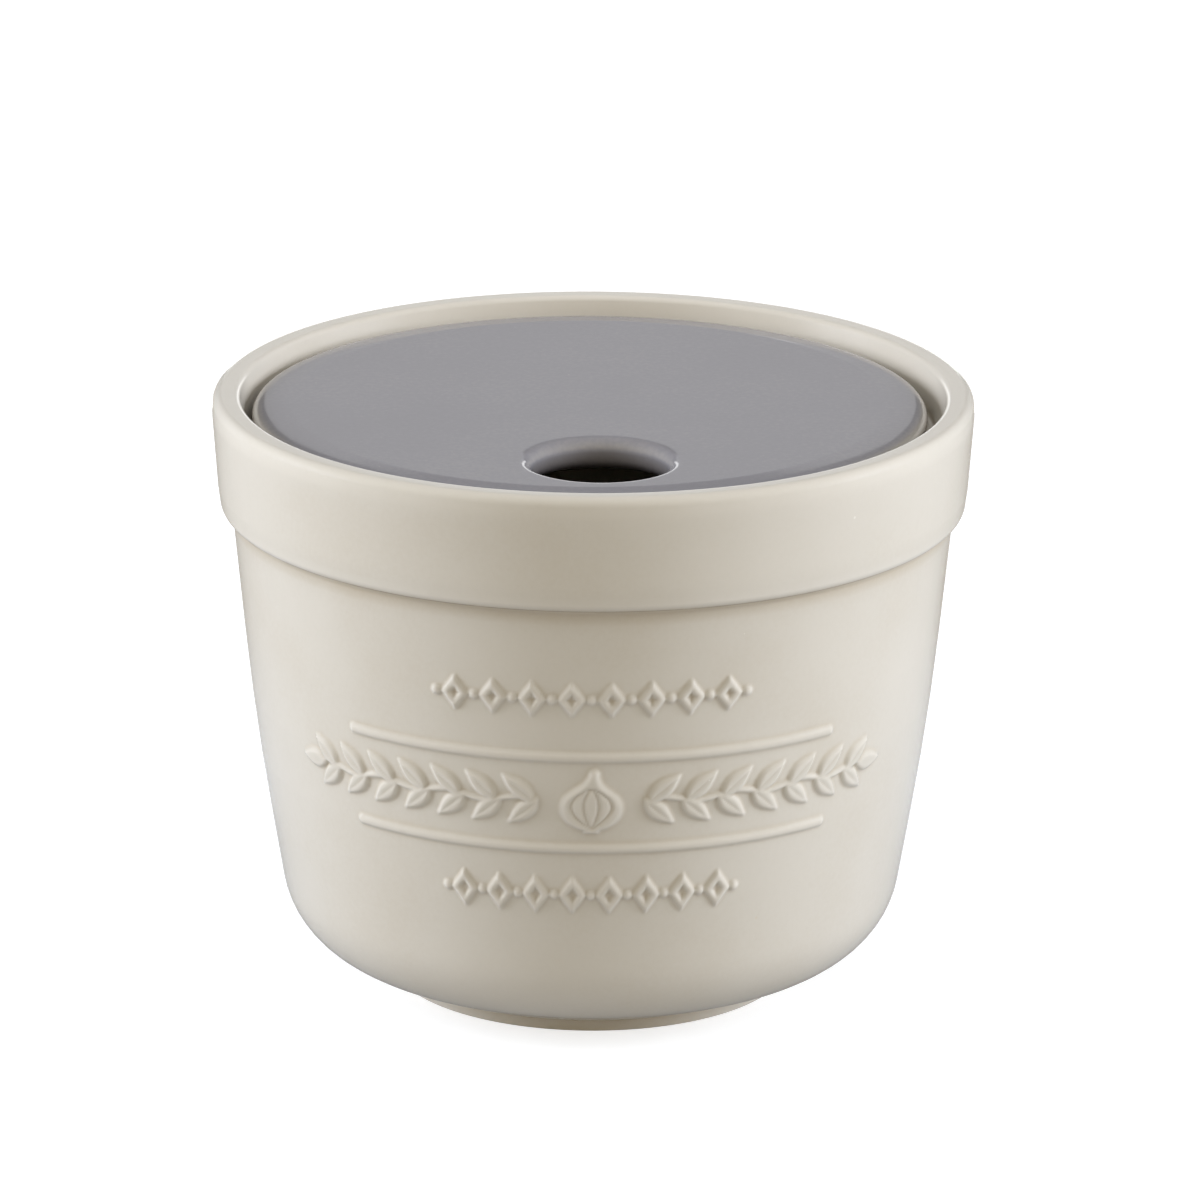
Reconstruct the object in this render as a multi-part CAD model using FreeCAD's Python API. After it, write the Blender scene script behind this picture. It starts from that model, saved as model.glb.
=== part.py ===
"""Stoneware garlic keeper: a glazed pot with a thick collar, and a flat lid with a finger hole.

Millimetres, +Z up. The origin is the centre of the face that the pot stands on. The front,
with the raised rules and the finger hole, faces -Y. The pot and the lid are one solid each.
"""
import FreeCAD, Part
import math
import os

V = FreeCAD.Vector
AXIS = V(0, 0, 1)
TINY = 1e-6                 # shorter edges than this are left out
FLATNESS = 0.2              # a round is drawn as even flats that stay this near to its arc

# Pot, outside.
POT_DIAMETER = 130.4        # across the corner of the rim, which its round takes a little off
POT_HEIGHT = 104.0
COLLAR_HEIGHT = 20.4        # from the groove under the collar up to the rim
COLLAR_STEP = 2.4           # how far the collar stands out from the wall, at its lower edge
COLLAR_TAPER = 1.0          # radius that the collar loses from the rim down
COLLAR_RISE = 0.65          # its underside rises this much outwards
COLLAR_EDGE = 3.5           # radius of its lower edge
RIM_OUTER_EDGE = 2.0        # radius
RIM_INNER_EDGE = 1.9        # radius
RIM_FALL = 0.2              # the top of the rim falls this much inwards
WALL_SWELL = 1.3            # the middle corner of the wall stands this far out of a straight cone
WALL_CURVE = 480.0          # radius that rounds the middle corner
KNEE_DIAMETER = 103.8       # corner between the wall and the bowl under it, before rounding
KNEE_RISE = 6.6             # height of that corner above the foot ring
KNEE_RADIUS = 18.6

# Pot, foot ring.
FOOT_DIAMETER = 70.8        # at its top, where it meets the bowl
FOOT_HEIGHT = 2.3
FOOT_TAPER = 0.8            # radius that it loses down to the ground
FOOT_WIDTH = 4.6            # of the ring that touches the ground
FOOT_EDGE = 0.7             # radius of its outer edge on the ground
BASE_RECESS = 1.8           # depth inside the ring

# Pot, inside.
RIM_WIDTH = 4.9             # at the top, before both edges are rounded
RIM_FLARE = 1.7             # the rim opens by this much, from the seat up to its top
SEAT_WIDTH = 4.2            # of the ledge that carries the lid
SEAT_EDGE = 0.6             # radius
LEDGE_FACE = 3.0            # height of the ledge's inner face
LEDGE_SLOPE = 7.0           # height of the slope that carries the ledge on the wall
LEDGE_REACH = 1.8           # how far the slope leads in from the wall
WALL_THICKNESS = 5.4        # where the wall meets the bowl
FLOOR_THICKNESS = 5.4       # above the recess in the base
INNER_KNEE_RADIUS = 11.0

# Raised rules on the front of the pot, one above the other.
RULE_ANGLE = 84.0           # degrees round the pot
RULE_MIDDLE = 49.2          # height of the middle between the two
RULE_SPACING = 16.6
RULE_WIDTH = 1.6
RULE_RELIEF = 0.6
RULE_EDGE = 0.5             # radius of its upper and lower edge
RULE_DEPTH = 1.0            # how deep the rule's section starts inside the wall

# Lid.
LID_THICKNESS = 5.5
LID_DROP = 2.1              # from the rim down to the flat top of the lid
LID_CLEARANCE = 0.9         # to the foot of the rim, all round
LID_ROLL_WIDTH = 5.6        # the top rolls down towards the edge over this width
LID_ROLL_FALL = 0.8
LID_ROLL_RADIUS = 12.0
LID_UPPER_EDGE = 1.6        # radius
LID_LOWER_EDGE = 0.8        # radius
LID_TURN = 2.9              # degrees that the lid lies turned in its seat

# Finger hole in the lid.
HOLE_DIAMETER = 24.0
HOLE_OFFSET = 36.0          # from the middle of the lid
HOLE_UPPER_EDGE = 1.9       # radius
HOLE_LOWER_EDGE = 0.6       # radius
CUTTER_REACH = 1.0          # the cutter runs this far past both faces of the lid

# Levels and radii that follow from the sizes above.
POT_RADIUS = POT_DIAMETER / 2
GROOVE_LEVEL = POT_HEIGHT - COLLAR_HEIGHT
COLLAR_LOW_RADIUS = POT_RADIUS - COLLAR_TAPER
WALL_TOP = V(COLLAR_LOW_RADIUS - COLLAR_STEP, 0, GROOVE_LEVEL)
WALL_FOOT = V(KNEE_DIAMETER / 2, 0, FOOT_HEIGHT + KNEE_RISE)
FLOOR_LEVEL = BASE_RECESS + FLOOR_THICKNESS
LID_LEVEL = POT_HEIGHT - LID_DROP
SEAT_LEVEL = LID_LEVEL - LID_THICKNESS
RIM_INNER_RADIUS = POT_RADIUS - RIM_WIDTH
RIM_FOOT_RADIUS = RIM_INNER_RADIUS - RIM_FLARE
SEAT_RADIUS = RIM_FOOT_RADIUS - SEAT_WIDTH
LEDGE_LEVEL = SEAT_LEVEL - LEDGE_FACE
LID_RADIUS = RIM_FOOT_RADIUS - LID_CLEARANCE


def side_cuts(points, radii):
    """How far each corner's arc reaches along its two sides, less where a side is too short."""
    count = len(points)
    wanted = []
    for i, corner in enumerate(points):
        turn = (corner - points[i - 1]).getAngle(points[(i + 1) % count] - corner)
        wanted.append(radii[i] * math.tan(turn / 2) if radii[i] else 0.0)
    cuts = []
    for i, corner in enumerate(points):
        after = (i + 1) % count
        side_before = (corner - points[i - 1]).Length
        side_after = (points[after] - corner).Length
        fit_before = side_before / max(wanted[i] + wanted[i - 1], side_before)
        fit_after = side_after / max(wanted[i] + wanted[after], side_after)
        cuts.append(wanted[i] * min(fit_before, fit_after))
    return cuts


def round_points(corner, back, on, cut):
    """Points on the arc that touches both sides of a corner at cut from it, evenly spaced."""
    half = back.getAngle(on) / 2
    radius = cut * math.tan(half)
    turn = math.pi - 2 * half
    widest = 2 * math.acos(max(1 - FLATNESS / radius, 0))
    flats = math.ceil(turn / widest)
    centre = corner + (back + on).normalize() * (radius / math.sin(half))
    start = corner + back * cut - centre
    end = corner + on * cut - centre
    points = []
    for i in range(flats + 1):
        angle = turn * i / flats
        spoke = start * math.sin(turn - angle) + end * math.sin(angle)
        points.append(centre + spoke / math.sin(turn))
    return points


def section(corners):
    """Closed face in the XZ plane through corners (x, z, radius), each with a tangent round."""
    points = [V(x, 0, z) for x, z, radius in corners]
    cuts = side_cuts(points, [radius for x, z, radius in corners])
    outline = []
    for i, corner in enumerate(points):
        if cuts[i] > TINY:
            back = (points[i - 1] - corner).normalize()
            on = (points[(i + 1) % len(points)] - corner).normalize()
            outline += round_points(corner, back, on, cuts[i])
        else:
            outline.append(corner)
    sides = zip(outline, outline[1:] + outline[:1])
    edges = [Part.makeLine(a, b) for a, b in sides if (b - a).Length > TINY]
    return Part.Face(Part.Wire(edges))


def turned(face):
    """Solid of revolution about the vertical axis."""
    return face.revolve(V(), AXIS, 360)


def swell_corner(low, high, swell):
    """Corner that stands out by swell from the middle of the side from low to high."""
    side = high - low
    outwards = V(side.z, 0, -side.x).normalize()
    return (low + high) / 2 + outwards * swell


def pot_section():
    """Half section of the pot: base, foot ring, bowl, wall, collar, rim, ledge, inside, floor."""
    foot_ground = FOOT_DIAMETER / 2 - FOOT_TAPER
    foot_inner = foot_ground - FOOT_WIDTH
    wall_middle = swell_corner(WALL_FOOT, WALL_TOP, WALL_SWELL)
    return section([
        (0, BASE_RECESS, 0),
        (foot_inner - FOOT_TAPER, BASE_RECESS, 0),
        (foot_inner, 0, 0),
        (foot_ground, 0, FOOT_EDGE),
        (FOOT_DIAMETER / 2, FOOT_HEIGHT, 0),
        (WALL_FOOT.x, WALL_FOOT.z, KNEE_RADIUS),
        (wall_middle.x, wall_middle.z, WALL_CURVE),
        (WALL_TOP.x, WALL_TOP.z, 0),
        (COLLAR_LOW_RADIUS, GROOVE_LEVEL + COLLAR_RISE, COLLAR_EDGE),
        (POT_RADIUS, POT_HEIGHT, RIM_OUTER_EDGE),
        (RIM_INNER_RADIUS, POT_HEIGHT - RIM_FALL, RIM_INNER_EDGE),
        (RIM_FOOT_RADIUS, SEAT_LEVEL, 0),
        (SEAT_RADIUS, SEAT_LEVEL, SEAT_EDGE),
        (SEAT_RADIUS, LEDGE_LEVEL, 0),
        (SEAT_RADIUS + LEDGE_REACH, LEDGE_LEVEL - LEDGE_SLOPE, 0),
        (WALL_FOOT.x - WALL_THICKNESS, FLOOR_LEVEL, INNER_KNEE_RADIUS),
        (0, FLOOR_LEVEL, 0),
    ])


def rule_section(pot_face, level):
    """Section of a raised rule, sunk in the wall so that only its relief stands out."""
    probe = Part.makeLine(V(0, 0, level), V(POT_DIAMETER, 0, level))
    wall_radius = max(vertex.X for vertex in probe.common(pot_face).Vertexes)
    inner = wall_radius - RULE_DEPTH
    outer = wall_radius + RULE_RELIEF
    low = level - RULE_WIDTH / 2
    high = level + RULE_WIDTH / 2
    return section([
        (inner, high, 0),
        (inner, low, 0),
        (outer, low, RULE_EDGE),
        (outer, high, RULE_EDGE),
    ])


def make_pot():
    """The pot, swept in two turns: the front with the rules on its wall, then the plain rest."""
    plain = pot_section()
    rules = [rule_section(plain, RULE_MIDDLE + side * RULE_SPACING / 2) for side in (-1, 1)]
    ruled = plain.fuse(rules).removeSplitter()
    front = ruled.revolve(V(), AXIS, RULE_ANGLE)
    rest = plain.revolve(V(), AXIS, RULE_ANGLE - 360)
    pot = front.fuse(rest).removeSplitter()
    pot.rotate(V(), AXIS, -90 - RULE_ANGLE / 2)
    return pot


def finger_hole_cutter():
    """Space of the finger hole, with the rounded edges that it leaves on both faces of the lid."""
    radius = HOLE_DIAMETER / 2
    return turned(section([
        (0, SEAT_LEVEL - CUTTER_REACH, 0),
        (radius + HOLE_LOWER_EDGE, SEAT_LEVEL - CUTTER_REACH, 0),
        (radius + HOLE_LOWER_EDGE, SEAT_LEVEL, 0),
        (radius, SEAT_LEVEL, HOLE_LOWER_EDGE),
        (radius, LID_LEVEL, HOLE_UPPER_EDGE),
        (radius + HOLE_UPPER_EDGE, LID_LEVEL, 0),
        (radius + HOLE_UPPER_EDGE, LID_LEVEL + CUTTER_REACH, 0),
        (0, LID_LEVEL + CUTTER_REACH, 0),
    ]))


def make_lid():
    """Disc with a rolled edge and the finger hole."""
    disc = turned(section([
        (0, SEAT_LEVEL, 0),
        (LID_RADIUS, SEAT_LEVEL, LID_LOWER_EDGE),
        (LID_RADIUS, LID_LEVEL - LID_ROLL_FALL, LID_UPPER_EDGE),
        (LID_RADIUS - LID_ROLL_WIDTH, LID_LEVEL, LID_ROLL_RADIUS),
        (0, LID_LEVEL, 0),
    ]))
    cutter = finger_hole_cutter()
    cutter.translate(V(0, -HOLE_OFFSET, 0))
    lid = disc.cut(cutter)
    lid.rotate(V(), AXIS, LID_TURN)
    return lid


PARTS = {"pot": make_pot, "lid": make_lid}

os.makedirs("parts", exist_ok=True)
for name, make in PARTS.items():
    shape = make()
    shape.exportStep(os.path.join("parts", name + ".step"))
    print(name, len(shape.Solids), "solid,", "valid," if shape.isValid() else "not valid,",
          round(shape.Volume / 1000, 1), "cm3")
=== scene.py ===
import math

import bpy
import numpy as np
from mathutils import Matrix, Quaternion, Vector


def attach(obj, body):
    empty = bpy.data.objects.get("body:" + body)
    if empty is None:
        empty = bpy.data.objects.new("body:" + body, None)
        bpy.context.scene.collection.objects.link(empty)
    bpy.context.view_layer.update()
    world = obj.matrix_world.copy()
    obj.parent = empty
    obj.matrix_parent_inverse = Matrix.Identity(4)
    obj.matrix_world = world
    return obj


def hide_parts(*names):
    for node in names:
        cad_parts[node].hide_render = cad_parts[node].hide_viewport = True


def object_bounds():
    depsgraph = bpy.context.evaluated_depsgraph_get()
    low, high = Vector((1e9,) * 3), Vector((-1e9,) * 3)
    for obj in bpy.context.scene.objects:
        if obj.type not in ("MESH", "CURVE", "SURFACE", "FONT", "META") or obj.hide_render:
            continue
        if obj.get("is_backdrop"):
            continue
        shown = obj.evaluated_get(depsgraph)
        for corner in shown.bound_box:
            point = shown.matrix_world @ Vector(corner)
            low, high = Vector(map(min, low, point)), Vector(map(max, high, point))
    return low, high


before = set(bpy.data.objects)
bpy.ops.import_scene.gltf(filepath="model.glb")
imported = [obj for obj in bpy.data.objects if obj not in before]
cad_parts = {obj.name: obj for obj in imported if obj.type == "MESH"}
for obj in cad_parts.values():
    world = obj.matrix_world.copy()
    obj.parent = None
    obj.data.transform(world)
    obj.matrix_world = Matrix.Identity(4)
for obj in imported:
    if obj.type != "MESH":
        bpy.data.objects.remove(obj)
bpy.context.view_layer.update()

# ---------------------------------------------------------------------------------------------
# Pot. One piece of stoneware, pressed and turned in a mould, with a thick collar, a ledge for the
# lid inside the rim and a turned foot ring. The raised ornament on the front comes out of the
# mould with it. It is dipped in cream glaze, wiped off the ground face, and fired once.
# ---------------------------------------------------------------------------------------------
MM = 0.001                  # the lengths of both pieces are in millimetres
POT_RADIUS = 65.18          # at the corner of the rim, which its round takes a little off
POT_HEIGHT = 103.98
FOOT_RADIUS = 35.4
FOOT_HEIGHT = 2.3
FOOT_TAPER = 0.8
FOOT_WIDTH = 4.6
BASE_RECESS = 1.8
KNEE_RADIUS = 51.9          # where the lines of the bowl and its underside cross
KNEE_HEIGHT = 8.9
WALL_TOP_RADIUS = 61.8
GROOVE_HEIGHT = 83.6        # of the corner between wall and collar
WALL_SWELL = 1.3            # of the middle of the wall, out of the straight line
COLLAR_LOW_RADIUS = POT_RADIUS - 1.0
COLLAR_TUCK = 0.5           # of the collar's underside, inside that radius
COLLAR_RISE = 0.65          # of its underside, from the groove outwards
COLLAR_ROLL = 4.4           # above the groove, up to where the foot of the collar rounds out
COLLAR_DRAW = 0.1
RIM_ROLL = 3.4              # below the top, where the collar starts to draw in towards the rim
RIM_DRAW = 0.3
RIM_INNER_RADIUS = 60.45
RIM_FALL = 0.2              # of the top of the rim, inwards
RIM_FOOT_RADIUS = 58.6
SEAT_HEIGHT = 96.4
SEAT_RADIUS = 54.4
LEDGE_HEIGHT = 93.4
LEDGE_SLOPE = 7.0
LEDGE_REACH = 1.8
WALL_THICKNESS = 5.4
FLOOR_HEIGHT = 7.2
ARC_TURN = math.radians(6)  # between two points of a round, at most
RING_STEP = 6.0             # between two rings of a plain part, at most

WALL_FOOT = np.array([KNEE_RADIUS, KNEE_HEIGHT])
WALL_TOP = np.array([WALL_TOP_RADIUS, GROOVE_HEIGHT])
wall_side = WALL_TOP - WALL_FOOT
wall_outwards = np.array([wall_side[1], -wall_side[0]]) / np.hypot(*wall_side)
WALL_MIDDLE = (WALL_FOOT + WALL_TOP) / 2 + wall_outwards * WALL_SWELL
FOOT_GROUND = FOOT_RADIUS - FOOT_TAPER
FOOT_INNER = FOOT_GROUND - FOOT_WIDTH

POT_SECTION = [             # corners of the half section, as (radius, height, round)
    (0, BASE_RECESS, 0),
    (FOOT_INNER - FOOT_TAPER, BASE_RECESS, 1.2),
    (FOOT_INNER, 0, 0.5),
    (FOOT_GROUND, 0, 0.6),
    (FOOT_RADIUS, FOOT_HEIGHT, 0.5),
    (KNEE_RADIUS, KNEE_HEIGHT, 18.6),
    (WALL_MIDDLE[0], WALL_MIDDLE[1], 480),
    (WALL_TOP_RADIUS, GROOVE_HEIGHT, 1.6),
    (COLLAR_LOW_RADIUS - COLLAR_TUCK, GROOVE_HEIGHT + COLLAR_RISE, 2.0),
    (COLLAR_LOW_RADIUS, GROOVE_HEIGHT + COLLAR_ROLL, 7.0),
    (POT_RADIUS - COLLAR_DRAW, POT_HEIGHT - RIM_ROLL, 9.0),
    (POT_RADIUS - RIM_DRAW, POT_HEIGHT, 1.9),
    (RIM_INNER_RADIUS, POT_HEIGHT - RIM_FALL, 1.2),
    (RIM_FOOT_RADIUS, SEAT_HEIGHT, 0.9),
    (SEAT_RADIUS, SEAT_HEIGHT, 0.6),
    (SEAT_RADIUS, LEDGE_HEIGHT, 1.5),
    (SEAT_RADIUS + LEDGE_REACH, LEDGE_HEIGHT - LEDGE_SLOPE, 6.0),
    (KNEE_RADIUS - WALL_THICKNESS, FLOOR_HEIGHT, 11),
    (0, FLOOR_HEIGHT, 0),
]


def rounded(corners, reach=0.5):
    """Points along a section, with an arc at each corner that has a round.

    An arc takes at most the share reach of the sides next to it.
    """
    places = np.array([corner[:2] for corner in corners], float)
    points = [places[0]]
    for before, corner, after, (_, _, radius) in zip(places, places[1:], places[2:], corners[1:]):
        back = (before - corner) / np.linalg.norm(before - corner)
        on = (after - corner) / np.linalg.norm(after - corner)
        half = math.acos(np.clip(back @ on, -1, 1)) / 2
        if not radius:
            points.append(corner)
            continue
        room = min(np.linalg.norm(before - corner), np.linalg.norm(after - corner)) * reach
        cut = min(radius / math.tan(half), room)
        radius = cut * math.tan(half)
        centre = corner + (back + on) / np.linalg.norm(back + on) * radius / math.sin(half)
        sweep = math.pi - 2 * half
        steps = max(3, math.ceil(sweep / ARC_TURN))
        for angle in np.linspace(0, sweep, steps + 1):
            from_start = (corner + back * cut - centre) * math.sin(sweep - angle)
            from_end = (corner + on * cut - centre) * math.sin(angle)
            points.append(centre + (from_start + from_end) / math.sin(sweep))
    points.append(places[-1])
    return np.array(points)


def divided(points, spacing):
    """The same line with more points, so that no step is longer than its spacing."""
    line = [points[0]]
    for start, end in zip(points, points[1:]):
        count = math.ceil(np.linalg.norm(end - start) / spacing(start, end))
        line += [start + (end - start) * i / count for i in range(1, count + 1)]
    return np.array(line)


# The raised ornament lies on the front of the wall, in a fine part of the mesh.
FRONT_ANGLE = math.radians(63)
RELIEF_LOW = 27.0
RELIEF_HIGH = 73.0
FINE_STEP = 0.33
COARSE_STEP = 2.2
WRAP_RADIUS = 59.0          # at which the ornament, laid out flat, is wrapped round the wall
BACK_COLUMNS = 180          # columns of the mesh round the sides and the back
WALL_DEPTH = 2.0            # how far inside the wall's straight line its outside can lie


def pot_spacing(start, end):
    """Step along the section: fine on the outside of the wall, where the ornament is."""
    middle = (start + end) / 2
    share = (middle[1] - KNEE_HEIGHT) / (GROOVE_HEIGHT - KNEE_HEIGHT)
    outer_radius = KNEE_RADIUS + (WALL_TOP_RADIUS - KNEE_RADIUS) * share
    on_wall = RELIEF_LOW < middle[1] < RELIEF_HIGH and middle[0] > outer_radius - WALL_DEPTH
    return FINE_STEP if on_wall else COARSE_STEP


pot_line = divided(divided(rounded(POT_SECTION), lambda start, end: RING_STEP), pot_spacing)
fine_columns = np.arange(-FRONT_ANGLE, FRONT_ANGLE, FINE_STEP / WRAP_RADIUS)
back_columns = np.linspace(FRONT_ANGLE, 2 * math.pi - FRONT_ANGLE, BACK_COLUMNS, endpoint=False)
pot_angles = np.concatenate([fine_columns, back_columns])


# Ornament: distances in millimetres from the outline of each shape, negative inside it.
def capsule(x, y, start, end, start_radius, end_radius):
    """A rounded bar that tapers from one end to the other."""
    side_x = end[0] - start[0]
    side_y = end[1] - start[1]
    share = ((x - start[0]) * side_x + (y - start[1]) * side_y) / (side_x ** 2 + side_y ** 2)
    share = np.clip(share, 0, 1)
    gap = np.hypot(x - start[0] - share * side_x, y - start[1] - share * side_y)
    return gap - start_radius - share * (end_radius - start_radius)


def leaf(x, y, base, angle, length, width):
    """A pointed leaf, and the distance from its midrib."""
    along = (x - base[0]) * math.cos(angle) + (y - base[1]) * math.sin(angle)
    across = (y - base[1]) * math.cos(angle) - (x - base[0]) * math.sin(angle)
    share = np.clip(along / length, 0, 1)
    half_width = width / 2 * np.sin(math.pi * share ** 0.8) ** 0.9
    beyond = np.hypot(along - share * length, across)
    return np.where((share > 0) & (share < 1), np.abs(across) - half_width, beyond), np.abs(across)


def lozenge(x, y, centre, width, height, stroke):
    """The outline of a lozenge as a band of the width stroke."""
    slope = math.hypot(width, height)
    edge = (np.abs(x - centre[0]) * height + np.abs(y - centre[1]) * width - width * height / 2)
    return np.abs(edge / slope + stroke / 2) - stroke / 2


def swollen(distance, soft):
    """0 outside a shape and 1 inside it, with an edge that the glaze rounds over soft."""
    share = np.clip(0.5 - distance / soft, 0, 1)
    return share * share * (3 - 2 * share)


RELIEF = 0.62               # of the ornament, out of the wall: each shape has a share of it
EDGE_SOFT = 1.0             # width of the slope at the edge of a large shape
SMALL_SOFT = 0.8            # of a small one
FURROW_SOFT = 0.5           # and of a furrow or a midrib
NOWHERE = 9.0               # a distance from a shape that isn't there
RULE_ANGLE = math.radians(42)
RULE_HEIGHTS = (40.9, 57.5)
RULE_WIDTH = 1.5
RULE_SHARE = 0.9
BAND_HEIGHT = 49.55         # of the middle of bulb and garland
BULB_SIZE = (10.4, 8.0)
BULB_MIDDLE = -1.3
NECK = ((0, 1.6), (0.5, 5.0), 1.5, 0.75)            # start, end, and the radius at each
NECK_BLEND = 2.2
ROOT = ((-0.9, -5.2), (0.9, -5.2), 0.45, 0.45)
CLOVE_LINES = (-3.4, -1.3, 1.3, 3.4)
CLOVE_TOP = 2.6
CLOVE_LENGTH = 7.6
FURROW_SHARE = 0.45
FURROW_HALF = 0.25
SPRIG_START = 9.0
SPRIG_END = 53.5
STEM_WAVE = 0.5
STEM_HALF = 0.42
STEM_SHARE = 0.8
LEAF_PITCH = 6.4
LEAF_LENGTH = 6.6
LEAF_WIDTH = 3.0
LEAF_ANGLE = math.radians(40)
LEAF_STAGGER = 0.8          # between the two leaves of a pair, along the stem
TIP_OVERLAP = 2.6           # of the last leaf and the stem
MIDRIB_SHARE = 0.3
MIDRIB_HALF = 0.12
SMALL_ROWS = ((67.85, 5.9, 4.6, 8), (32.2, 6.6, 4.9, 8))    # level, lozenge's height, width, count
SMALL_PITCH = 6.5
LOZENGE_STROKE = 1.25
LOZENGE_SHARE = 0.85
BEAD_RADIUS = 0.75
BEAD_SHARE = 0.8


def bulb(x, y):
    """A garlic bulb with its neck, root and the furrows between its cloves."""
    width, height = BULB_SIZE
    body = (np.hypot(x / width, (y - BULB_MIDDLE) / height) - 0.5) * height
    neck = capsule(x, y, *NECK)
    blend = np.clip(0.5 + 0.5 * (neck - body) / NECK_BLEND, 0, 1)
    outline = neck + (body - neck) * blend - NECK_BLEND * blend * (1 - blend)
    outline = np.minimum(outline, capsule(x, y, *ROOT))
    share = np.clip((CLOVE_TOP - y) / CLOVE_LENGTH, 0, 1)
    furrow = np.full(x.shape, NOWHERE)
    for reach in CLOVE_LINES:
        gap = np.abs(x - reach * np.sin(math.pi * share ** 0.85))
        furrow = np.minimum(furrow, np.where((share > 0.02) & (share < 0.98), gap, NOWHERE))
    dome = np.clip(1 - (x / width * 1.7) ** 2, 0.3, 1)
    raised = swollen(outline, EDGE_SOFT) * (0.72 + 0.5 * dome)
    return raised - FURROW_SHARE * swollen(furrow - FURROW_HALF, FURROW_SOFT)


def sprig(x, y):
    """Half of the garland: a stem from the bulb outwards, with pairs of leaves and a last leaf."""
    wave = STEM_WAVE * np.sin((x - SPRIG_START) / LEAF_PITCH * math.pi)
    stem = np.abs(y - wave) - STEM_HALF
    stem = np.where((x > SPRIG_START) & (x < SPRIG_END), stem, NOWHERE)
    height = STEM_SHARE * swollen(stem, SMALL_SOFT)
    for base in np.arange(SPRIG_START, SPRIG_END - 2, LEAF_PITCH):
        lift = STEM_WAVE * math.sin((base - SPRIG_START) / LEAF_PITCH * math.pi)
        for side in (-1, 1):
            foot = (base + LEAF_STAGGER * (side > 0), lift)
            shape, rib = leaf(x, y, foot, side * LEAF_ANGLE, LEAF_LENGTH, LEAF_WIDTH)
            midrib = swollen(rib - MIDRIB_HALF, FURROW_SOFT) * (shape < -0.3)
            height = np.maximum(height, swollen(shape, EDGE_SOFT) - MIDRIB_SHARE * midrib)
    shape, _ = leaf(x, y, (SPRIG_END - TIP_OVERLAP, 0), 0, LEAF_LENGTH, LEAF_WIDTH)
    return np.maximum(height, swollen(shape, EDGE_SOFT))


def ornament(angle, height):
    """How far the ornament stands out of the wall, in millimetres."""
    x = angle * WRAP_RADIUS
    raised = np.zeros(x.shape)
    for rule in RULE_HEIGHTS:
        reach = RULE_ANGLE * WRAP_RADIUS
        bar = capsule(x, height, (-reach, rule), (reach, rule), RULE_WIDTH / 2, RULE_WIDTH / 2)
        raised = np.maximum(raised, RULE_SHARE * swollen(bar, EDGE_SOFT))
    raised = np.maximum(raised, bulb(x, height - BAND_HEIGHT))
    raised = np.maximum(raised, sprig(np.abs(x), height - BAND_HEIGHT))
    for middle, tall, wide, count in SMALL_ROWS:
        for i in range(count):
            place = (i - (count - 1) / 2) * SMALL_PITCH
            ring = lozenge(x, height, (place, middle), wide, tall, LOZENGE_STROKE)
            raised = np.maximum(raised, LOZENGE_SHARE * swollen(ring, SMALL_SOFT))
        for i in range(count + 1):
            place = (i - count / 2) * SMALL_PITCH
            bead = np.hypot(x - place, height - middle) - BEAD_RADIUS
            raised = np.maximum(raised, BEAD_SHARE * swollen(bead, SMALL_SOFT))
    return RELIEF * raised


def smoothed(field, passes):
    """The field after passes of a three-point blur both ways."""
    for _ in range(passes):
        field = (np.roll(field, 1, 0) + field + np.roll(field, -1, 0)) / 3
        field = (np.roll(field, 1, 1) + field + np.roll(field, -1, 1)) / 3
    return field


# Rings of the pot, from the middle of the base round the outside to the middle of the floor.
along = np.gradient(pot_line, axis=0)
along /= np.linalg.norm(along, axis=1)[:, None]
normals = np.stack([along[:, 1], -along[:, 0]], axis=1)
angles, heights = np.meshgrid(pot_angles, pot_line[:, 1])
outside_wall = np.arange(len(pot_line)) < np.argmax(pot_line[:, 1] > GROOVE_HEIGHT - 2)
wrapped = (angles + math.pi) % (2 * math.pi) - math.pi
stand = np.where(outside_wall[:, None], ornament(wrapped, heights), 0.0)
radii = pot_line[:, :1] + normals[:, :1] * stand
levels = pot_line[:, 1:] + normals[:, 1:] * stand
pot_rings = np.stack([radii * np.sin(angles), -radii * np.cos(angles), levels], axis=2)

# Thickness of the glaze: 1 is even, more where it gathers in a crease, less on an edge, 0 where it
# is wiped off. The creases are made darker as painted shade as well as for pooled glaze. The rim's
# inner face and the foot's face are made lighter as painted light.
CREASE_POOL_AND_SHADE = 0.55
POOLED_AND_SHADED_CREASES = (                 # radius, height, and how far from there the glaze gathers and painted shade darkens it
    (WALL_TOP_RADIUS + 0.3, GROOVE_HEIGHT + 0.1, 1.8),
    (FOOT_RADIUS + 0.3, FOOT_HEIGHT + 0.2, 0.8),
    (RIM_FOOT_RADIUS, SEAT_HEIGHT, 1.8),
)
EDGE_LOSS_AND_LIGHT = 0.35
THINNED_AND_LIGHTENED_EDGES = (                   # the same for the places that it draws away from; this also paints light on the rim's inner face and the foot
    (COLLAR_LOW_RADIUS - 0.9, GROOVE_HEIGHT + 1.5, 0.9),
    (RIM_INNER_RADIUS + 1.0, POT_HEIGHT - 1.0, 3.2),
    (SEAT_RADIUS + 0.2, SEAT_HEIGHT - 0.2, 0.9),
    (FOOT_RADIUS, FOOT_HEIGHT / 2, 0.9),
)
RELIEF_FLOW = 1.6           # of the glaze, off the ornament and into its hollows
FLOW_PASSES = 4
WIPED_HEIGHT = 0.12
pot_glaze_and_shading = 1 + RELIEF_FLOW * (smoothed(stand, FLOW_PASSES) - stand)
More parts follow.
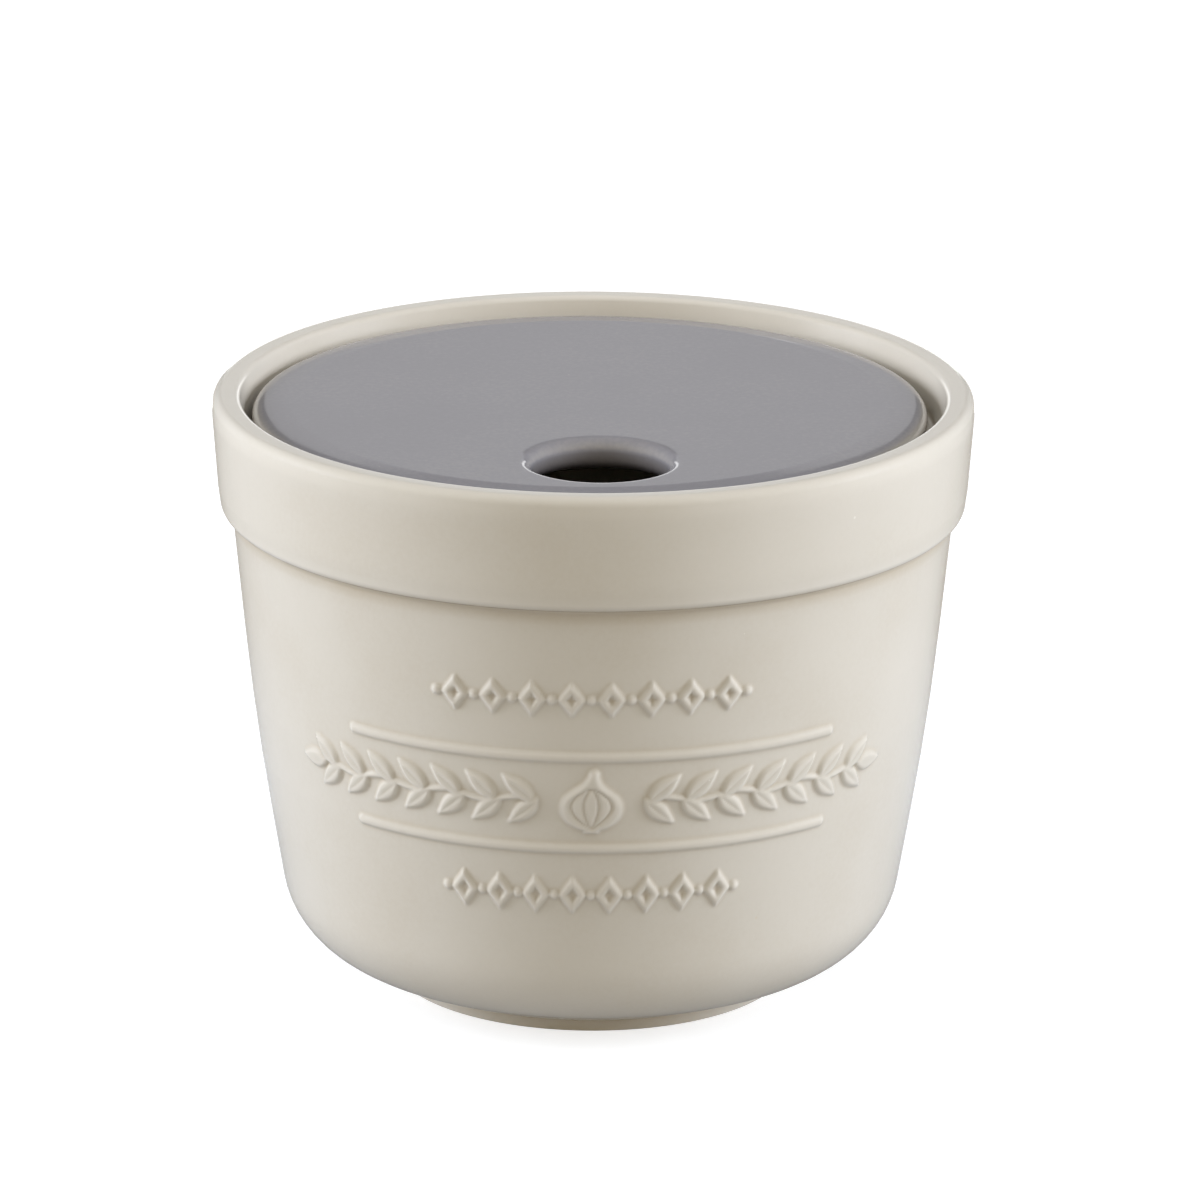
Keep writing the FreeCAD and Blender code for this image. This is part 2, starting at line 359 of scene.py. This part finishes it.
for change, places in ((CREASE_POOL_AND_SHADE, POOLED_AND_SHADED_CREASES), (-EDGE_LOSS_AND_LIGHT, THINNED_AND_LIGHTENED_EDGES)):
    for radius, height, reach in places:
        gap = np.hypot(pot_line[:, 0] - radius, pot_line[:, 1] - height)
        pot_glaze_and_shading += change * np.exp(-(gap / reach) ** 2)[:, None]
wiped = (pot_line[:, 1] < WIPED_HEIGHT) & (pot_line[:, 0] > FOOT_INNER - 1)
pot_glaze_and_shading[wiped] = 0.0


def turned_mesh(name, rings, glaze, joined):
    """Mesh over rings of points. It is joined into a tube, or closed by a point at each end."""
    rows, columns = rings.shape[:2]
    row, column = np.meshgrid(np.arange(rows if joined else rows - 1), np.arange(columns),
                              indexing="ij")
    after_row = (row + 1) % rows
    after_column = (column + 1) % columns
    quads = np.stack([row * columns + column, row * columns + after_column,
                      after_row * columns + after_column, after_row * columns + column], axis=2)
    faces = quads.reshape(-1, 4).tolist()
    points = rings.reshape(-1, 3)
    thickness_and_shading = glaze.reshape(-1)
    if not joined:
        first, last = len(points), len(points) + 1
        points = np.concatenate([points, [rings[0].mean(axis=0), rings[-1].mean(axis=0)]])
        thickness_and_shading = np.concatenate([thickness_and_shading, [glaze[0, 0], glaze[-1, 0]]])
        end = (rows - 1) * columns
        faces += [(first, (i + 1) % columns, i) for i in range(columns)]
        faces += [(last, end + i, end + (i + 1) % columns) for i in range(columns)]
    mesh = bpy.data.meshes.new(name)
    mesh.from_pydata((points * MM).tolist(), [], faces)
    # The glaze attribute holds the glaze's thickness, with painted shade and painted light added
    # in.
    mesh.attributes.new("glaze", "FLOAT", "POINT").data.foreach_set("value", thickness_and_shading)
    mesh.shade_smooth()
    mesh.validate()
    piece = bpy.data.objects.new(name, mesh)
    bpy.context.collection.objects.link(piece)
    return piece


open_rings = pot_line[:, 0] > 0.5
pot = turned_mesh("glazed_pot", pot_rings[open_rings], pot_glaze_and_shading[open_rings], joined=False)


class Value:
    """A socket of a finish that takes part in sums; each operator adds a Math node."""

    def __init__(self, finish, socket):
        self.finish = finish
        self.socket = socket

    def maths(self, operation, first, second):
        sockets = {0: first, 1: second}
        return self.finish.node("ShaderNodeMath", {"operation": operation}, sockets)

    def __add__(self, other):
        return self.maths("ADD", self, other)

    def __sub__(self, other):
        return self.maths("SUBTRACT", self, other)

    def __rsub__(self, other):
        return self.maths("SUBTRACT", other, self)

    def __mul__(self, other):
        return self.maths("MULTIPLY", self, other)

    def __lt__(self, other):
        return self.maths("LESS_THAN", self, other)

    __radd__ = __add__
    __rmul__ = __mul__


class Finish:
    """A material, or the surroundings, put together node by node."""

    def __init__(self, owner):
        owner.use_nodes = True
        self.owner = owner
        self.tree = owner.node_tree
        self.tree.nodes.clear()

    def node(self, kind, settings, sockets, output=0):
        """A new node's output. Settings are set first, then each socket's value or link."""
        made = self.tree.nodes.new(kind)
        for name, value in settings.items():
            if name == "stops":
                for _ in value[2:]:
                    made.color_ramp.elements.new(0.5)
                for element, (place, shade) in zip(made.color_ramp.elements, value):
                    element.position = place
                    element.color = shade
            else:
                setattr(made, name, value)
        for name, value in sockets.items():
            if isinstance(value, Value):
                self.tree.links.new(value.socket, made.inputs[name])
            else:
                made.inputs[name].default_value = value
        return Value(self, made.outputs[output])

    def mixed(self, share, first, second):
        """A colour between two others."""
        settings = {"data_type": "RGBA"}
        return self.node("ShaderNodeMix", settings, {0: share, 6: first, 7: second}, output=2)

    def noise(self, place, size, detail=2.0, roughness=0.5):
        """Soft noise from 0 to 1, with patches of about size, in the unit of place."""
        sockets = {"Vector": place, "Scale": 1 / size, "Detail": detail, "Roughness": roughness}
        return self.node("ShaderNodeTexNoise", {}, sockets)

    def ranged(self, value, none, full, shape="LINEAR"):
        """0 at the value none, 1 at the value full, and in proportion between them."""
        sockets = {"Value": value, "From Min": none, "From Max": full}
        return self.node("ShaderNodeMapRange", {"interpolation_type": shape}, sockets)

    def specks(self, place, pitch, radius, share):
        """1 on small round specks: one in each cell of about pitch, in that share of the cells."""
        sockets = {"Vector": place, "Scale": 1 / pitch}
        distance = self.node("ShaderNodeTexVoronoi", {}, sockets)
        cell = self.node("ShaderNodeTexVoronoi", {}, sockets, output=1)
        chance = self.node("ShaderNodeSeparateColor", {}, {0: cell})
        size = self.node("ShaderNodeSeparateColor", {}, {0: cell}, output=1)
        return (distance < (size + 0.5) * (radius / pitch)) * (chance < share)

    def surface(self, shader):
        """Ends the tree in its output."""
        kind = "ShaderNodeOutputWorld" if isinstance(self.owner, bpy.types.World) \
            else "ShaderNodeOutputMaterial"
        end = self.tree.nodes.new(kind)
        self.tree.links.new(shader.socket, end.inputs["Surface"])


def colour(red, green, blue):
    """Linear colour for a shader from the usual 0-255 values."""
    linear = [(part / 255 / 12.92) if part < 11 else ((part / 255 + 0.055) / 1.055) ** 2.4
              for part in (red, green, blue)]
    return (*linear, 1.0)


GRAIN = 0.16                # of the glaze's thickness, from one grain to the next
SPECK_SIZES = (6.0, 0.16, 0.3)      # pitch, radius, and the share of places that have one
PIT_SIZES = (9.0, 0.2, 0.25)
SPECK_STRENGTH = 0.55
PIT_STRENGTH = 0.5
BARE_DEPTH = 0.3            # thickness of the glaze under which the clay shows
BARE_ROUGHNESS = 0.75
SMEAR = 0.07                # of the roughness, over the surface
RIPPLE = 0.03 * MM
DIMPLE = 0.001 * MM
CLAY_GRAIN = 0.08 * MM
PIT_DEPTH = 0.04 * MM


def glazed(name, clay, thin_and_lightened, even, gathered_and_shaded, pooled_and_shaded, speck, gloss, patch, drift):
    """A glaze over clay, with fine specks and pinholes. Its colour follows a depth that also holds
    painted shade and light.
    """
    finish = Finish(bpy.data.materials.new(name))
    spot = finish.node("ShaderNodeTexCoord", {}, {}, output=3)
    scaled = {0: spot, "Scale": 1 / MM}
    place = finish.node("ShaderNodeVectorMath", {"operation": "SCALE"}, scaled)
    thickness_and_shading = finish.node("ShaderNodeAttribute", {"attribute_name": "glaze"}, {}, output=2)
    patches = finish.noise(place, patch, detail=3.0)
    grain = finish.noise(place, 0.9, detail=3.0, roughness=0.6)
    depth = thickness_and_shading + (patches - 0.5) * drift + (grain - 0.5) * GRAIN
    # The ramp runs from no glaze at 0 to twice the even thickness at 1. Its dark end is partly
    # painted shade, and its light end is partly painted light.
    stops = [(0.0, clay), (0.1, clay), (0.2, thin_and_lightened), (0.32, thin_and_lightened), (0.5, even), (0.75, gathered_and_shaded),
             (1.0, pooled_and_shaded)]
    tone = finish.node("ShaderNodeValToRGB", {"stops": stops}, {0: depth * 0.5})
    pale = finish.specks(place, *SPECK_SIZES)
    pits = finish.specks(place, *PIT_SIZES)
    tone = finish.mixed(pale * SPECK_STRENGTH, tone, speck)
    tone = finish.mixed(pits * PIT_STRENGTH, tone, clay)
    bare = depth < BARE_DEPTH
    smear = finish.noise(place, 14.0)
    rough = gloss + smear * SMEAR + bare * (BARE_ROUGHNESS - gloss)
    ripple = finish.noise(place, 11.0, detail=1.0) * RIPPLE
    dimple = finish.noise(place, 1.8, detail=1.0) * DIMPLE
    clay_grain = bare * finish.noise(place, 0.5, detail=3.0) * CLAY_GRAIN
    relief = ripple + dimple + clay_grain - pits * PIT_DEPTH
    bump = {"Height": relief, "Strength": 1.0, "Distance": 1.0}
    normal = finish.node("ShaderNodeBump", {}, bump)
    finish.surface(finish.node("ShaderNodeBsdfPrincipled", {}, {
        "Base Color": tone, "Roughness": rough, "IOR": 1.5, "Normal": normal}))
    return finish.owner


STONEWARE = colour(205, 192, 170)
# Its gathered and pooled colours darken the creases, partly as painted shade. Its thin colour
# lightens the edges, partly as painted light on the rim's inner face and the foot.
CREAM_GLAZE = glazed(
    "cream_glaze", clay=STONEWARE, thin_and_lightened=colour(212, 205, 193), even=colour(205, 198, 185),
    gathered_and_shaded=colour(188, 176, 156), pooled_and_shaded=colour(182, 169, 148), speck=colour(228, 224, 214),
    gloss=0.1, patch=26.0, drift=0.4)
pot.data.materials.append(CREAM_GLAZE)
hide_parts("pot")
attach(pot, "pot")

# ---------------------------------------------------------------------------------------------
# Lid. A flat disc of the same stoneware, pressed in a mould, that lies loose on the ledge inside
# the rim. Its edge is rolled, and so are the lips of the finger hole, which also lets air in.
# It is glazed grey and left bare underneath, where it rests.
# ---------------------------------------------------------------------------------------------
LID_RADIUS = 57.7
LID_HEIGHT = 101.9          # of its top, when it lies on the ledge
LID_TURN = math.radians(2.9)        # it lies turned by this, with the hole a little to the right
LID_SHIFT = -0.6            # and this far off the middle, in the play that the rim leaves it
ROLL_WIDTH = 6.5            # from the edge inwards to where the top starts to fall
ROLL_START = 0.35           # length of the flat that leads into the roll
ROLL_MIDDLE = 2.2           # from the edge inwards to where it falls faster
ROLL_FALL = 1.0
ROLL_SHARE = 0.3            # of the fall, up to that middle
LID_LOWER_EDGE = 0.8
UNDERSIDE_START = 2.5       # from the edge inwards
HOLE_RADIUS = 11.6
HOLE_OFFSET = 35.2          # of its middle, from the middle of the lid to the front
HOLE_LIP = 2.4              # round between its wall and the top
HOLE_REACH = 2.8            # from its wall out to where the top starts to fall to it
HOLE_START = 0.15           # length of the flat that leads into it
HOLE_FALL = 0.15
HOLE_LOWER_EDGE = 2.4
HOLE_SHADE_START = 1.6        # below the top, where the painted shade starts down the wall of the hole
HOLE_SHADE_DEPTH = 3.2              # and below there, where the painted shade is darkest
LID_COLUMNS = 288
LID_STEP = 1.0
SPREAD_RINGS = 22           # rings between the hole and the edge, on the top and underneath

LID_RIM_SECTION = [
    (LID_RADIUS - ROLL_WIDTH - ROLL_START, LID_HEIGHT, 0),
    (LID_RADIUS - ROLL_WIDTH, LID_HEIGHT, 6),
    (LID_RADIUS - ROLL_MIDDLE, LID_HEIGHT - ROLL_FALL * ROLL_SHARE, 9),
    (LID_RADIUS, LID_HEIGHT - ROLL_FALL, 1.6),
    (LID_RADIUS, SEAT_HEIGHT, LID_LOWER_EDGE),
    (LID_RADIUS - UNDERSIDE_START, SEAT_HEIGHT, 0),
]
HOLE_SECTION = [
    (HOLE_RADIUS + HOLE_LOWER_EDGE, SEAT_HEIGHT, 0),
    (HOLE_RADIUS, SEAT_HEIGHT, HOLE_LOWER_EDGE),
    (HOLE_RADIUS, LID_HEIGHT - HOLE_FALL, HOLE_LIP),
    (HOLE_RADIUS + HOLE_REACH, LID_HEIGHT, 2.0),
    (HOLE_RADIUS + HOLE_REACH + HOLE_START, LID_HEIGHT, 0),
]


def circles(section, centre, reach):
    """Rows of (centre, radius, height) from a section about the vertical axis at centre."""
    line = divided(rounded(section, reach), lambda start, end: LID_STEP)
    return np.column_stack([np.full(len(line), centre), line])


def spread(start, end):
    """Circles between two others that lie in one plane, without the two themselves."""
    shares = np.linspace(0, 1, SPREAD_RINGS + 2)[1:-1, None]
    return start + (end - start) * shares


edge_circles = circles(LID_RIM_SECTION, 0.0, reach=0.5)
hole_circles = circles(HOLE_SECTION, -HOLE_OFFSET, reach=0.8)
lid_circles = np.concatenate([
    hole_circles,
    spread(hole_circles[-1], edge_circles[0]),
    edge_circles,
    spread(edge_circles[-1], hole_circles[0]),
])
lid_angles = np.linspace(0, 2 * math.pi, LID_COLUMNS, endpoint=False)
lid_x = lid_circles[:, 1:2] * np.sin(lid_angles)
lid_y = lid_circles[:, :1] - lid_circles[:, 1:2] * np.cos(lid_angles)
lid_rings = np.stack([
    LID_SHIFT + lid_x * math.cos(LID_TURN) - lid_y * math.sin(LID_TURN),
    lid_x * math.sin(LID_TURN) + lid_y * math.cos(LID_TURN),
    np.repeat(lid_circles[:, 2:], LID_COLUMNS, axis=1),
], axis=2)

# Painted light and shade on the lid. The rolled edge is made lighter as a painted reflection of
# the pot's cream wall, and the hole's lip is made a little lighter as painted light. The wall of
# the hole is made darker towards its foot as painted shade.
LID_PAINTED_LIGHT_EDGES = (               # centre, radius, height, how far from there it is lightened, and the loss
    (0.0, LID_RADIUS - 0.5, LID_HEIGHT - ROLL_FALL - 0.4, 0.85, 0.6),
    (-HOLE_OFFSET, HOLE_RADIUS + 0.4, LID_HEIGHT - 1.4, 0.8, 0.12),
)
lid_glaze_and_shading = np.ones(lid_rings.shape[:2])
for centre, radius, height, reach, loss in LID_PAINTED_LIGHT_EDGES:
    gap = np.hypot(lid_circles[:, 1] - radius, lid_circles[:, 2] - height)
    gap = np.where(lid_circles[:, 0] == centre, gap, NOWHERE)
    lid_glaze_and_shading -= loss * np.exp(-(gap / reach) ** 2)[:, None]
# Painted shade: the wall of the finger hole gets darker towards its foot.
hole_wall = (lid_circles[:, 0] == -HOLE_OFFSET) & (lid_circles[:, 2] > SEAT_HEIGHT)
hole_shade = np.clip((LID_HEIGHT - HOLE_SHADE_START - lid_circles[:, 2]) / HOLE_SHADE_DEPTH, 0, 1)
lid_glaze_and_shading += np.where(hole_wall, hole_shade, 0.0)[:, None]
resting = (lid_circles[:, 2] < SEAT_HEIGHT + 0.1) & (lid_circles[:, 0] == 0.0)
lid_glaze_and_shading[resting] = 0.0

lid = turned_mesh("glazed_lid", lid_rings, lid_glaze_and_shading, joined=True)
# Its thin colour is painted light: a reflection of the cream pot along the rolled edge, and a
# lighter lip on the hole. Its gathered and pooled colours are painted shade down the wall of the
# finger hole.
GREY_GLAZE = glazed(
    "grey_glaze", clay=STONEWARE, thin_and_lightened=colour(176, 170, 162), even=colour(139, 136, 138),
    gathered_and_shaded=colour(118, 113, 112), pooled_and_shaded=colour(70, 66, 66), speck=colour(170, 166, 160),
    gloss=0.05, patch=34.0, drift=0.12)
lid.data.materials.append(GREY_GLAZE)
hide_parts("lid")
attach(lid, "lid")

# ---------------------------------------------------------------------------------------------
# Floor. A smooth sheet of pale card, wide enough to run out of sight. It takes the pot's soft
# shadow, and is lifted to white where it is looked at. The glaze mirrors it in a warmer grey away
# from the pot, and the foot gets more of its light from close by.
# ---------------------------------------------------------------------------------------------
WHITE = (1, 1, 1, 1)
FLOOR_SIZE = 12.0
FLOOR_LIFT = 0.7            # its own light, where it is looked at
FIBRE = 0.004
CARD_TONES = (colour(182, 182, 182), colour(186, 186, 186))
FOOT_TONE = colour(250, 251, 254)       # of the floor round the foot, for the light that it throws
FOOT_REACH = (0.047, 0.039)             # from where it starts to where it is full
TABLE_TONE = colour(148, 140, 128)      # of the floor away from the pot, as the glaze mirrors it
TABLE_REACH = (0.12, 0.22)
half = FLOOR_SIZE / 2
floor_mesh = bpy.data.meshes.new("floor")
floor_mesh.from_pydata([(-half, -half, 0), (half, -half, 0), (half, half, 0), (-half, half, 0)],
                       [], [(0, 1, 2, 3)])
floor = bpy.data.objects.new("floor", floor_mesh)
bpy.context.collection.objects.link(floor)
card = Finish(bpy.data.materials.new("pale_card"))
seen = card.node("ShaderNodeLightPath", {}, {})
reflected = card.node("ShaderNodeLightPath", {}, {}, output=3)
spot = card.node("ShaderNodeTexCoord", {}, {}, output=3)
fibre = card.noise(spot, FIBRE, detail=3.0)
card_tone = card.mixed(fibre, *CARD_TONES)
distance = card.node("ShaderNodeVectorMath", {"operation": "LENGTH"}, {0: spot}, output=1)
near = card.ranged(distance, *FOOT_REACH)
card_tone = card.mixed(near * (1 - seen - reflected), card_tone, FOOT_TONE)
far = card.ranged(distance, *TABLE_REACH)
card_tone = card.mixed(reflected * far, card_tone, TABLE_TONE)
paper = card.node("ShaderNodeBsdfDiffuse", {}, {"Color": card_tone})
glow = card.node("ShaderNodeEmission", {}, {"Color": WHITE, "Strength": seen * FLOOR_LIFT})
card.surface(card.node("ShaderNodeAddShader", {}, {0: paper, 1: glow}))
floor_mesh.materials.append(card.owner)
floor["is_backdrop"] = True

# ---------------------------------------------------------------------------------------------
# Light. A studio that is bright and cool overhead, dim and warm on the camera's side and dark
# behind the pot, with a softbox at each side, low over the table, and two cards close behind. The
# glaze mirrors a grey screen at the back instead of the walls, and a camera sees them white.
# ---------------------------------------------------------------------------------------------
BLACK = (0, 0, 0, 1)
BEHIND = (0.03, 0.02, 0.02, 1.0)
BEFORE = (0.50, 0.36, 0.11, 1.0)
BACK_REACH = (-0.55, 0.55)              # along +Y of the direction, from front wall to back wall
OVERHEAD = (1.17, 1.21, 1.25, 1.0)
OVERHEAD_REACH = (0.5, 1.0)
OVERHEAD_LEAN = -0.4                    # of the overhead light, to the camera's side
SCREEN = (0.12, 0.12, 0.12, 1.0)
SCREEN_REACH = (0.48, 0.38)             # sine of the elevation at its faded top and its full part
room = Finish(bpy.data.worlds.new("white_studio"))
bpy.context.scene.world = room.owner
looked_at = room.node("ShaderNodeLightPath", {}, {})
mirrored = room.node("ShaderNodeLightPath", {}, {}, output=3)
direction = room.node("ShaderNodeTexCoord", {}, {})
back = room.node("ShaderNodeSeparateXYZ", {}, {0: direction}, output=1)
rise = room.node("ShaderNodeSeparateXYZ", {}, {0: direction}, output=2)
share = room.ranged(back, *BACK_REACH, "SMOOTHSTEP")
tone = room.mixed(share, BEFORE, BEHIND)
high = room.ranged(rise + back * OVERHEAD_LEAN, *OVERHEAD_REACH, "SMOOTHSTEP")
tone = room.mixed(high, tone, OVERHEAD)
screen = room.mixed(room.ranged(rise, *SCREEN_REACH) * share, BLACK, SCREEN)
tone = room.mixed(mirrored, tone, screen)
walls = room.node("ShaderNodeBackground", {}, {"Color": tone})
white = room.node("ShaderNodeBackground", {}, {"Color": WHITE})
room.surface(room.node("ShaderNodeMixShader", {}, {0: looked_at, 1: walls, 2: white}))

SOFTBOXES = ((math.radians(-93), 11.9), (math.radians(87), 11.3))   # angle from -Y, and power
SOFTBOX_SIZE = 0.5
SOFTBOX_COLOUR = (0.795, 0.864, 1.0)
GLINT = 0.3                 # share of a softbox's light in its mirror image
SOFTBOX_DISTANCE = 0.95
SOFTBOX_HEIGHT = 0.31
SOFTBOX_AIM = Vector((0, 0, 0.05))
for angle, power in SOFTBOXES:
    lamp = bpy.data.lights.new("softbox", "AREA")
    lamp.shape = "SQUARE"
    lamp.size = SOFTBOX_SIZE
    lamp.energy = power
    lamp.color = SOFTBOX_COLOUR
    softbox = bpy.data.objects.new("softbox", lamp)
    softbox.location = (SOFTBOX_DISTANCE * math.sin(angle),
                        -SOFTBOX_DISTANCE * math.cos(angle), SOFTBOX_HEIGHT)
    softbox.rotation_euler = (SOFTBOX_AIM - softbox.location).to_track_quat("-Z", "Y").to_euler()
    softbox.visible_glossy = False
    bpy.context.collection.objects.link(softbox)
    glint = softbox.copy()
    glint.data = lamp.copy()
    glint.data.energy = power * GLINT
    glint.visible_glossy = True
    glint.visible_diffuse = False
    bpy.context.collection.objects.link(glint)

# The cards only show in the glaze: the low white one draws a line along the front edges, and the
# pale one over it lights the lid.
CARD_DISTANCE = 0.35
CARDS = ((0.0, 0.155, 0.24, 1.6), (0.155, 0.265, 0.22, 0.38))   # bottom, top, width, brightness
for low, high, width, brightness in CARDS:
    lamp = bpy.data.lights.new("card", "AREA")
    lamp.shape = "RECTANGLE"
    lamp.size = width
    lamp.size_y = high - low
    lamp.energy = brightness * math.pi * width * (high - low)
    card_behind = bpy.data.objects.new("card", lamp)
    card_behind.location = (0, CARD_DISTANCE, (low + high) / 2)
    card_behind.rotation_euler = (math.radians(-90), 0, 0)
    card_behind.visible_camera = False
    card_behind.visible_diffuse = False
    card_behind.visible_transmission = False
    bpy.context.collection.objects.link(card_behind)

# ---------------------------------------------------------------------------------------------
# Camera. A long lens, straight in front of the pot and above its rim, so that the whole lid
# shows.
# ---------------------------------------------------------------------------------------------
CAMERA_PLACE = Vector((0, -1.2969, 0.47565))
CAMERA_AIM = Vector((0.00132, 0, 0.0662))
CAMERA_ROLL = math.radians(0.33)
SENSOR_WIDTH = 36.0
FOCAL_LENGTH = 237.0
lens = bpy.data.cameras.new("camera")
lens.sensor_width = SENSOR_WIDTH
lens.lens = FOCAL_LENGTH
camera = bpy.data.objects.new("camera", lens)
camera.location = CAMERA_PLACE
camera.rotation_mode = "QUATERNION"
sight = (CAMERA_AIM - CAMERA_PLACE).to_track_quat("-Z", "Y")
camera.rotation_quaternion = sight @ Quaternion((0, 0, 1), CAMERA_ROLL)
bpy.context.collection.objects.link(camera)
bpy.context.scene.camera = camera
bpy.context.scene.view_settings.view_transform = "Standard"

low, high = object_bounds()
